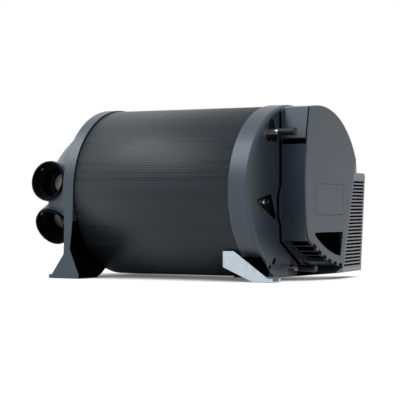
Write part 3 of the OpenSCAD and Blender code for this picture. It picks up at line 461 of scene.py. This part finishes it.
# %% [markdown]
# The duct sleeves are deep black sockets that stand in round bosses. A sleeve has a rounded lip, a straight
# wall that takes the duct, a step that stops it and a narrower neck that reaches into the distributor. One
# profile turned about each outlet's axis makes all four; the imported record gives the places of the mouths.

# %% Duct sleeves
SOCKET_L = 19.0 * MM
NECK_L = 14.0 * MM
WALL = 2.5 * MM
SOCKET_R = mounts["warm_air_front_upper"]["dims"]["r_mm"] * MM + WALL
NECK_R = SOCKET_R - 4.15 * MM
sleeve_profile = rounded([
    (NECK_R - WALL, -SOCKET_L - NECK_L), (NECK_R, -SOCKET_L - NECK_L), (NECK_R, -SOCKET_L),
    (SOCKET_R, -SOCKET_L), (SOCKET_R, -5.4 * MM), (SOCKET_R + 0.5 * MM, -4.6 * MM), (SOCKET_R + 0.5 * MM, 0),
    (SOCKET_R - WALL, 0), (SOCKET_R - WALL, -SOCKET_L + 1.2 * MM),
    (NECK_R - WALL, -SOCKET_L + 1.2 * MM)], 0.9 * MM, 4)
OUTLETS = ("front_upper", "front_lower", "rear_upper", "rear_lower")
for place in OUTLETS:
    mouth = mounts["warm_air_" + place]
    sleeve = turned("sleeve_" + place, sleeve_profile, mouth["pos_m"], mouth["axis"], black_plastic, 96)
    ridden(sleeve, "heater", "outlet_" + place)
print("sleeves: 4 of", len(sleeve.data.polygons), "faces")

# %% [markdown]
# Behind each sleeve's step a black throat leads on to a damper: a round plate of dull metal on a spindle that
# sets how much air the duct gets. Part of it shows through the mouth as a pale crescent. Throat, plate and
# spindle are all turned, the plate about an axis that leans a little towards the fan end.

# %% Throats and dampers
THROAT_R = NECK_R - WALL - 0.2 * MM
THROAT_IN = THROAT_R - 0.8 * MM
DAMPER_DEPTH = 40.0 * MM
DAMPER_T = 0.6 * MM
DAMPER_AT = {"upper": (5.0, 3.0, 17.5), "lower": (-5.0, -8.0, 16.0)}
DAMPER_LEAN = radians(16.0)
SPINDLE_R = 1.4 * MM
throat_profile = rounded([
    (THROAT_IN, -DAMPER_DEPTH - 5.0 * MM), (THROAT_R, -DAMPER_DEPTH - 5.0 * MM),
    (THROAT_R, -SOCKET_L - 1.0 * MM), (THROAT_IN, -SOCKET_L - 1.0 * MM)], 0.3 * MM, 3)
for place in OUTLETS:
    mouth = mounts["warm_air_" + place]
    axis = np.array(mouth["axis"], float)
    along, up, plate_r = np.array(DAMPER_AT[place.split("_")[1]]) * MM
    hub = np.array(mouth["pos_m"]) - axis * DAMPER_DEPTH + [along, 0, up]
    plate_profile = rounded([
        (0, -DAMPER_T), (plate_r, -DAMPER_T), (plate_r, DAMPER_T), (0, DAMPER_T)], 0.3 * MM, 3)
    half = np.sqrt(THROAT_IN ** 2 - along ** 2) - abs(up)
    spindle_profile = rounded([(0, -half), (SPINDLE_R, -half), (SPINDLE_R, half), (0, half)], 0.2 * MM, 2)
    facing = axis * np.cos(DAMPER_LEAN) + np.array([np.sin(DAMPER_LEAN), 0, 0])
    throat = turned("throat_" + place, throat_profile, mouth["pos_m"], axis, black_plastic, 96)
    ridden(throat, "heater")
    damper = turned("damper_" + place, plate_profile, hub, facing, motor_steel, 64)
    ridden(damper, "heater")
    spindle = turned("spindle_" + place, spindle_profile, hub, np.cross(axis, [1, 0, 0]), black_plastic, 24)
    ridden(spindle, "heater")
print("throats: 4 of", len(throat.data.polygons), "faces; dampers: 4 of", len(damper.data.polygons), "faces")

# %% [markdown]
# A small spring clip of bright sheet sits on the inner wall of each mouth and holds the duct. Its outline on
# the wall is a short strip along the curve, so a grid over angle and depth is laid on the wall's cylinder,
# and the strip's thickness comes from a second layer closer to the axis.

# %% Duct clips
CLIP_AT = radians(316.0)
CLIP_L = 7.0 * MM
CLIP_W = 2.2 * MM
CLIP_T = 0.5 * MM
CLIP_DEPTH = 11.0 * MM
for place in OUTLETS:
    mouth = mounts["warm_air_" + place]
    axis = np.array(mouth["axis"], float)
    spoke = np.array([-1.0, 0, 0])
    side = np.cross(axis, spoke)
    if place.startswith("rear"):
        side = -side
    wall_r = SOCKET_R - WALL
    turn = CLIP_AT + np.linspace(-0.5, 0.5, 13) * CLIP_L / wall_r
    rim = rounded([(wall_r - CLIP_T, -CLIP_DEPTH - CLIP_W), (wall_r + 0.1 * MM, -CLIP_DEPTH - CLIP_W),
                   (wall_r + 0.1 * MM, -CLIP_DEPTH), (wall_r - CLIP_T, -CLIP_DEPTH)], 0.2 * MM, 3)
    spokes = np.cos(turn)[:, None] * spoke + np.sin(turn)[:, None] * side
    grid = rim[None, :, :1] * spokes[:, None] + rim[None, :, 1:] * axis + np.array(mouth["pos_m"])
    ends = np.broadcast_to(grid[[0, -1]].mean(axis=1, keepdims=True), (2,) + grid.shape[1:])
    grid = np.concatenate([ends[:1], grid, ends[1:]])
    clip = surface("clip_" + place, grid, stainless, (False, True))
    ridden(clip, "heater")
print("clips: 4 of", len(clip.data.polygons), "faces")

# %% [markdown]
# The caps keep dirt out of the water pipes until the heater is connected. They are soft black mouldings that
# are pulled off along the pipe: a low lip, a straight body and a thicker rounded end to grip. Each one
# replaces its plain solid and rides on the same body, so it still pulls off.

# %% Pipe caps
for side in ("hot", "cold"):
    cap_lo, cap_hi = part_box(side + "_pipe_cap")
    centre = (cap_lo + cap_hi) / 2
    body_r = (cap_hi.z - cap_lo.z) / 2
    bore_r = body_r - 0.9 * MM
    length = cap_hi.x - cap_lo.x
    cap_profile = rounded([
        (bore_r, 0), (body_r - 0.1 * MM, 0), (body_r - 0.1 * MM, 1.6 * MM), (body_r - 0.25 * MM, 2.0 * MM),
        (body_r - 0.25 * MM, length - 6.4 * MM), (body_r + 0.25 * MM, length - 5.6 * MM),
        (body_r + 0.25 * MM, length - 1.8 * MM), (body_r - 1.6 * MM, length),
        (0, length), (0, length - 3.9 * MM), (bore_r, length - 3.9 * MM)], 0.6 * MM, 4)
    cap_profile[:, 0] = np.maximum(cap_profile[:, 0], 0)
    cap = turned(side + "_cap", cap_profile, (cap_lo.x, centre.y, centre.z), (1, 0, 0), soft_black, 48)
    ridden(cap, side + "_cap", side + "_pipe_cap")
print("caps: 2 of", len(cap.data.polygons), "faces")

# %% [markdown]
# Pieces of near black painted shade stand behind the hood's window and over the gaps between its slats, so
# those look as black as the shade inside the hood. One piece stands behind the window and one lies over the
# slats. Both follow the hood's round belly, whose circle has its centre behind and above the axis. A strip of
# the same painted shade fills the slot over the front cover.

# %% Painted shade in the hood
BELLY_Y = 100.0
BELLY_Z = 85.0
BELLY_R = 213.0


def bar(name, sections, finish):
    """Closed bar through the sections: grid[i, j] is corner j of section i, and the ends meet in a point."""
    ends = np.broadcast_to(sections[[0, -1]].mean(axis=1, keepdims=True), (2,) + sections.shape[1:])
    return surface(name, np.concatenate([ends[:1], sections, ends[1:]]), finish, (False, True))


across = np.linspace(-33.0, 81.0, 39)
belly_under = BELLY_Z - np.sqrt(BELLY_R ** 2 - (across - BELLY_Y) ** 2)
# Painted shade: these near black pieces stand for the shade inside the hood.
window_shade = bar("window_shade", np.stack([
    spot(47.0, across, -62.0), spot(41.0, across, -62.0),
    spot(41.0, across, belly_under + 13.5), spot(47.0, across, belly_under + 13.5)], axis=1), painted_shade_black)
sweep = np.radians(np.linspace(231.0, 264.0, 34))
inside = [(np.cos(sweep) * radius + BELLY_Y, np.sin(sweep) * radius + BELLY_Z) for radius in (203.6, 200.6)]
belly_shade = bar("belly_shade", np.stack([
    spot(47.5, *inside[0]), spot(47.5, *inside[1]), spot(5.0, *inside[1]), spot(5.0, *inside[0])], axis=1),
    painted_shade_black)
along = np.linspace(4.3, 50.2, 12)
cover_slot_shade = bar("cover_slot_shade", np.stack([
    spot(along, -40.6, 78.7), spot(along, -37.1, 78.7), spot(along, -37.1, 87.8),
    spot(along, -40.6, 87.8)], axis=1), painted_shade_black)
for piece in (window_shade, belly_shade, cover_slot_shade):
    ridden(piece, "heater")
    print(piece.name, len(piece.data.polygons), "faces")

# %% [markdown]
# A black strip of painted shade lies in the groove between the hood's end wall and its roof, to darken the
# groove as its shade would. It runs straight up the roof panel and then over the round crown, so its path is
# a line followed by an arc, and its section is a flat strip.

# %% Painted shade in the roof groove
CROWN_R = 143.5
GROOVE = (48.4, 50.4)
straight = np.linspace([-41.3, 90.5], [-32.0, 139.2], 12)
over_top = np.radians(np.linspace(102.4, 39.5, 60))
arch = np.stack([np.cos(over_top), np.sin(over_top)], axis=-1) * (CROWN_R - 0.7)
top_line = np.concatenate([straight + [0.7, -0.1], arch])
low_line = np.concatenate([straight + [1.35, -0.3], arch * (CROWN_R - 1.4) / (CROWN_R - 0.7)])
# Painted shade: the black strip stands for the shade in the groove.
groove_shade = bar("groove_shade_strip", np.stack([
    spot(GROOVE[0], *top_line.T), spot(GROOVE[1], *top_line.T),
    spot(GROOVE[1], *low_line.T), spot(GROOVE[0], *low_line.T)], axis=1), painted_shade_black)
ridden(groove_shade, "heater")
print("cord:", len(groove_shade.data.polygons), "faces")

# %% [markdown]
# The fuel nipple stands in a three cornered pocket, and a black liner in it is painted shade that makes the
# pocket as dark as its shadow. The pocket is the hull of three circles, so a point of its outline in a given
# direction is the farthest corner plus the radius that way. The gap under the hood lies in shade: a low black
# strip of painted shade along the ring's foot and the hood's rear edge closes it, and a bent black pad of
# painted shade behind the floor bracket does the same for the ring's notch.

# %% Painted shade in the pocket, under the hood and in the notch
POCKET = np.array([[-112.0, -16.0], [-72.0, -8.0], [-58.0, -42.0]])
POCKET_SHADE_R = (3.1, 3.95)
POCKET_SHADE_X = (-0.25, -8.2, -8.9)
GAP_SHADE_LOW = -142.3
NOTCH_SHADE_FRONT = np.array([[-50.0, -106.1], [-4.6, -106.1], [-4.6, -71.0]])
NOTCH_SHADE_BACK = np.array([[-50.0, -105.4], [-5.3, -105.4], [-5.3, -71.0]])
NOTCH_SHADE_Z = (-141.0, -107.2)
turn = np.linspace(0, 2 * pi, 72, endpoint=False)
ways = np.stack([np.cos(turn), np.sin(turn)], axis=-1)
farthest = POCKET[np.argmax(ways @ POCKET.T, axis=1)]
middle = np.broadcast_to(POCKET.mean(axis=0), farthest.shape)
inner_loop, outer_loop = (farthest + radius * ways for radius in POCKET_SHADE_R)
rim_x, floor_x, back_x = POCKET_SHADE_X
loops = [(floor_x, middle), (floor_x, inner_loop), (rim_x, inner_loop),
         (rim_x, outer_loop), (back_x, outer_loop), (back_x, middle)]
# Painted shade: the black liner stands for the shade inside the pocket.
pocket_shade = surface("pocket_shade_liner", np.stack([spot(x, *loop.T) for x, loop in loops]), soft_black, (False, True))
across = np.linspace(17.0, 165.0, 75)
gap_shade_top = np.where(across < 52.0, -130.0, -137.4)
# Painted shade: this low black strip stands for the shade in the gap under the hood.
gap_shade = bar("belly_gap_shade", np.stack([
    spot(-0.1, across, GAP_SHADE_LOW), spot(2.0, across, GAP_SHADE_LOW),
    spot(2.0, across, gap_shade_top), spot(-0.1, across, gap_shade_top)], axis=1), painted_shade_black)
# Painted shade: the bent black pad stands for the shade in the ring's notch behind the bracket.
notch_shade = bar("notch_shade", np.stack([
    spot(*NOTCH_SHADE_FRONT.T, NOTCH_SHADE_Z[0]), spot(*NOTCH_SHADE_BACK.T, NOTCH_SHADE_Z[0]),
    spot(*NOTCH_SHADE_BACK.T, NOTCH_SHADE_Z[1]), spot(*NOTCH_SHADE_FRONT.T, NOTCH_SHADE_Z[1])], axis=1), painted_shade_black)
for piece in (pocket_shade, gap_shade, notch_shade):
    ridden(piece, "heater")
    print(piece.name, len(piece.data.polygons), "faces")

# %% [markdown]
# A thin bead runs along the free edge of the hood's lip, and a flat black strip beside it is painted shade in
# the corner where the lip meets the ring. Their path has six straight stretches: down the front, round the
# bulge beside the pocket and along the slats. Each corner of the path has an outward direction, and the
# corners of both sections lie along it.

# %% Bead of the lip and painted shade beside it
lip_path = np.array([[-38.0, 132.0], [-38.0, 8.0], [-46.0, -8.0], [-46.0, -40.0], [-38.0, -56.0],
                     [-38.0, -81.0], [27.0, -121.0]])
outward = np.array([[-1.0, 0.0], [-1.0, 0.2], [-1.0, 0.2], [-1.0, -0.2], [-1.0, -0.2], [-0.88, -0.5],
                    [-0.52, -0.85]])
for name, finish, slot, near_x, far_x, near_out, far_out in (
        ("lip_bead", casing, "casing_grey", 1.2, 4.5, -0.2, 1.5),
        # Painted shade: the second strip's black stands for the shade between the lip and the ring.
        ("lip_shade", painted_shade_black, "soft_black", -0.1, 0.9, 0.3, 5.5)):
    inner_edge = (lip_path + near_out * outward).T
    outer_edge = (lip_path + far_out * outward).T
    strip = bar(name, np.stack([
        spot(near_x, *inner_edge), spot(far_x, *inner_edge),
        spot(far_x, *outer_edge), spot(near_x, *outer_edge)], axis=1), finish)
    ridden(strip, "heater")
    print(name, len(strip.data.polygons), "faces")

# %% [markdown]
# Below the outlets the end plate's side towards the jacket lies in shade, so a thin black sheet of painted
# shade is laid on it. It follows the plate's own faces: those that look along X are copied, cut off at a
# level, drawn in from their edges and given a thickness by Solidify. A CAD mesh is all triangles, so a helper
# first merges its doubled points and joins its flat faces.

# %% Painted shade on the end plate
PLATE_SHADE_TOP = AXIS_Z - 50.0 * MM
PLATE_SHADE_T = 0.4 * MM
PLATE_SHADE_INSET = 0.9 * MM
FACING = 0.2


def cleaned(node, weld=0.002):
    """Editable copy of a CAD node's mesh: points closer than weld mm become one, flat faces are joined."""
    shape = bmesh.new()
    shape.from_mesh(frame["nodes"][node].data)
    bmesh.ops.remove_doubles(shape, verts=shape.verts, dist=weld * MM)
    bmesh.ops.dissolve_degenerate(shape, edges=shape.edges, dist=1e-6)
    bmesh.ops.dissolve_limit(shape, angle_limit=radians(0.4), verts=shape.verts, edges=shape.edges,
                             use_dissolve_boundaries=False, delimit={"NORMAL"})
    return shape


# Painted shade: the black sheet stands for the shade on the plate's side towards the jacket.
shape = cleaned("end_plate")
bmesh.ops.delete(shape, geom=[face for face in shape.faces if face.normal.x < FACING], context="FACES")
bmesh.ops.bisect_plane(shape, geom=shape.verts[:] + shape.edges[:] + shape.faces[:],
                       plane_co=(0, 0, PLATE_SHADE_TOP), plane_no=(0, 0, 1), clear_outer=True)
border = bmesh.ops.inset_region(shape, faces=shape.faces[:], thickness=PLATE_SHADE_INSET, use_boundary=True)
bmesh.ops.delete(shape, geom=border["faces"], context="FACES")
plate_shade_mesh = bpy.data.meshes.new("plate_shade")
shape.to_mesh(plate_shade_mesh)
shape.free()
plate_shade_mesh.materials.append(painted_shade_black.material)
plate_shade = bpy.data.objects.new("plate_shade", plate_shade_mesh)
bpy.context.scene.collection.objects.link(plate_shade)
thickness = plate_shade.modifiers.new("thickness", "SOLIDIFY")
thickness.thickness = PLATE_SHADE_T
thickness.offset = 1.0
ridden(plate_shade, "heater")
print("plate mat:", len(plate_shade_mesh.polygons), "faces")

# %% [markdown]
# Moulded plastic and folded sheet never end in a knife edge. The CAD solids do, so copies of the casing parts
# are merged into clean faces and given a small Bevel on every edge that turns by more than 33 degrees. The
# thin light lines that real edges catch come from these rounds. Where the hood's end wall meets the crown and
# at its bowed front edge the real round is larger, so those edges take a wider Bevel first.

# %% Softened copies
FLAT_AREA = 0.0015
ROUND_ANGLE = radians(33.0)
SMOOTH_ANGLE = radians(14.0)


def eased(node, width, wide=None, wide_width=0.0, weld=0.002):
    """Cleaned copy of a CAD node with every sharp edge rounded.

    wide picks the points whose edges take the larger round first. A larger weld leaves no edge shorter than
    the round needs. Large faces and faces square to the axis keep their own flat shade, so that a round
    beside them doesn't bend their light.
    """
    name = node + "_eased"
    mesh = frame["nodes"][node].data.copy()
    mesh.name = name
    shape = cleaned(node, weld)
    shape.to_mesh(mesh)
    shape.free()
    mesh.shade_smooth()
    mesh.set_sharp_from_angle(angle=SMOOTH_ANGLE)
    normals = np.empty(len(mesh.polygons) * 3, np.float32)
    mesh.polygons.foreach_get("normal", normals)
    areas = np.empty(len(mesh.polygons), np.float32)
    mesh.polygons.foreach_get("area", areas)
    flat = (np.abs(normals[::3]) > 0.9999) | (areas > FLAT_AREA)
    mesh.polygons.foreach_set("use_smooth", ~flat)
    made = bpy.data.objects.new(name, mesh)
    bpy.context.scene.collection.objects.link(made)
    rounds = [("edge round", "ANGLE", width, 2)]
    if wide:
        points = np.empty(len(mesh.vertices) * 3, np.float32)
        mesh.vertices.foreach_get("co", points)
        ends = np.empty(len(mesh.edges) * 2, np.int32)
        mesh.edges.foreach_get("vertices", ends)
        chosen = wide(points.reshape(-1, 3).astype(float))[ends.reshape(-1, 2)].all(axis=1)
        weights = mesh.attributes.new("bevel_weight_edge", "FLOAT", "EDGE")
        weights.data.foreach_set("value", chosen.astype(np.float32))
        rounds.insert(0, ("wide round", "WEIGHT", wide_width, 4))
        print(node, "wide edges:", int(chosen.sum()))
    for label, method, size, segments in rounds:
        bevel = made.modifiers.new(label, "BEVEL")
        bevel.limit_method = method
        bevel.angle_limit = ROUND_ANGLE
        bevel.width = size
        bevel.segments = segments
        bevel.use_clamp_overlap = False
        bevel.harden_normals = True
        bevel.miter_outer = "MITER_ARC"
    ridden(made, "heater", node)
    return made


WALL_X = 53.0
BOW_Y = 380.3
BOW_Z = 10.0
BOW_R = 430.0


def hood_rim(points):
    """Points of the hood's end face that lie on the crown's circle or on the bowed front edge."""
    x, y, z = ((points - spot(0.0, 0.0, 0.0)) / MM).T
    on_crown = np.abs(np.hypot(y, z) - CROWN_R) < 0.05
    on_bow = np.abs(np.hypot(y - BOW_Y, z - BOW_Z) - BOW_R) < 0.05
    return (np.abs(x - WALL_X) < 0.02) & (on_crown | on_bow)


hood = eased("fan_hood", 0.5 * MM, hood_rim, 1.7 * MM, 0.35)
print("hood:", len(hood.data.polygons), "faces before the round")
for node, width in (("end_ring", 0.6), ("service_plate", 0.5), ("control_cover", 0.5), ("end_plate", 0.8),
                    ("air_distributor", 0.7), ("floor_bracket", 0.35)):
    made = eased(node, width * MM)
    print(node, len(made.data.polygons), "faces before the round")

# %% [markdown]
# The studio is a white sweep. Rays that go straight from the camera, or by way of a mirror, see pure white;
# the light that falls on the heater is a softer grey, strongest from overhead, so dark parts stay dark. One
# large soft box stands high at the front left, and its reflection is the broad highlight along the barrel. A
# weak one at the right lights the faces of the ring and the hood.

# %% World and soft boxes
AIM = Vector((0.0, -0.017, 0.148))
world = bpy.data.worlds.new("studio")
bpy.context.scene.world = world
world.use_nodes = True
sky = world.node_tree
for old in list(sky.nodes):
    sky.nodes.remove(old)
sky_out = sky.nodes.new("ShaderNodeOutputWorld")
seen = sky.nodes.new("ShaderNodeBackground")
seen.inputs["Color"].default_value = (1, 1, 1, 1)
seen.inputs["Strength"].default_value = 1.0
ambient = sky.nodes.new("ShaderNodeBackground")
ambient.inputs["Color"].default_value = (0.93, 0.97, 1.0, 1)
heading = sky.nodes.new("ShaderNodeTexCoord")
split = sky.nodes.new("ShaderNodeSeparateXYZ")
overhead = sky.nodes.new("ShaderNodeMapRange")
overhead.interpolation_type = "SMOOTHSTEP"
overhead.inputs["From Max"].default_value = 0.9
overhead.inputs["To Min"].default_value = 0.07
overhead.inputs["To Max"].default_value = 0.2
sky.links.new(heading.outputs["Generated"], split.inputs[0])
sky.links.new(split.outputs["Z"], overhead.inputs["Value"])
sky.links.new(overhead.outputs[0], ambient.inputs["Strength"])
path = sky.nodes.new("ShaderNodeLightPath")
either = sky.nodes.new("ShaderNodeMath")
either.operation = "MAXIMUM"
any_seen = sky.nodes.new("ShaderNodeMath")
any_seen.operation = "MAXIMUM"
sky_mix = sky.nodes.new("ShaderNodeMixShader")
sky.links.new(path.outputs["Is Camera Ray"], either.inputs[0])
sky.links.new(path.outputs["Is Glossy Ray"], either.inputs[1])
sky.links.new(either.outputs[0], any_seen.inputs[0])
sky.links.new(path.outputs["Is Transmission Ray"], any_seen.inputs[1])
sky.links.new(any_seen.outputs[0], sky_mix.inputs[0])
sky.links.new(ambient.outputs[0], sky_mix.inputs[1])
sky.links.new(seen.outputs[0], sky_mix.inputs[2])
sky.links.new(sky_mix.outputs[0], sky_out.inputs["Surface"])


def soft_box(name, place, width, height, radiance):
    """Area lamp that faces the heater; its power, pi * area * radiance, is that of an even flat panel."""
    data = bpy.data.lights.new(name, "AREA")
    data.shape = "RECTANGLE"
    data.size = width
    data.size_y = height
    data.energy = pi * width * height * radiance
    lamp = bpy.data.objects.new(name, data)
    lamp.location = place
    lamp.rotation_euler = (AIM - lamp.location).to_track_quat("-Z", "Y").to_euler()
    lamp.visible_camera = False
    bpy.context.scene.collection.objects.link(lamp)
    return lamp


soft_box("key box", (-0.682, -0.83, 1.209), 1.5, 0.8, 3.9)
soft_box("fill box", (1.7, -1.0, 0.5), 1.0, 1.0, 0.9)
print("lamps: 2")

# %% [markdown]
# The floor is the pale sweep. Seen by the camera or in a mirror it glows white, except close to the heater:
# there an Ambient Occlusion value dims the glow, and with the lamps' own shade it makes the soft contact
# shadow under the barrel.

# %% Floor
floor_finish = Finish("sweep", Specular_IOR_Level=0.0, Roughness=0.9)
floor_finish.surface.inputs["Base Color"].default_value = (0.06, 0.06, 0.06, 1)
closeness = floor_finish.node("ShaderNodeAmbientOcclusion", {"samples": 8}, {"Distance": 0.12}, "AO")
seen_by = floor_finish.node("ShaderNodeLightPath", {}, {}, "Is Camera Ray")
mirrored = floor_finish.node("ShaderNodeLightPath", {}, {}, "Is Glossy Ray")
through = floor_finish.node("ShaderNodeLightPath", {}, {}, "Is Transmission Ray")
glow = seen_by.maths("MAXIMUM", seen_by.maths("MAXIMUM", seen_by, mirrored), through)
open_sky = closeness.over(0.05, 0.6)
level = seen_by * (0.12 + open_sky * 0.9) + (glow - seen_by) * open_sky * 1.5
floor_finish.feed("Emission Color", floor_finish.node(
    "ShaderNodeCombineColor", {}, {"Red": level, "Green": level, "Blue": level}))
floor_finish.surface.inputs["Emission Strength"].default_value = 1.0
FLOOR_HALF = 14.0
corner = np.linspace(-FLOOR_HALF, FLOOR_HALF, 3)
floor_grid = np.stack(np.meshgrid(corner, corner, [-0.0004], indexing="ij"), axis=-1)[:, :, 0]
floor = surface("floor_sweep", floor_grid, floor_finish)
print("floor:", len(floor.data.polygons), "faces")
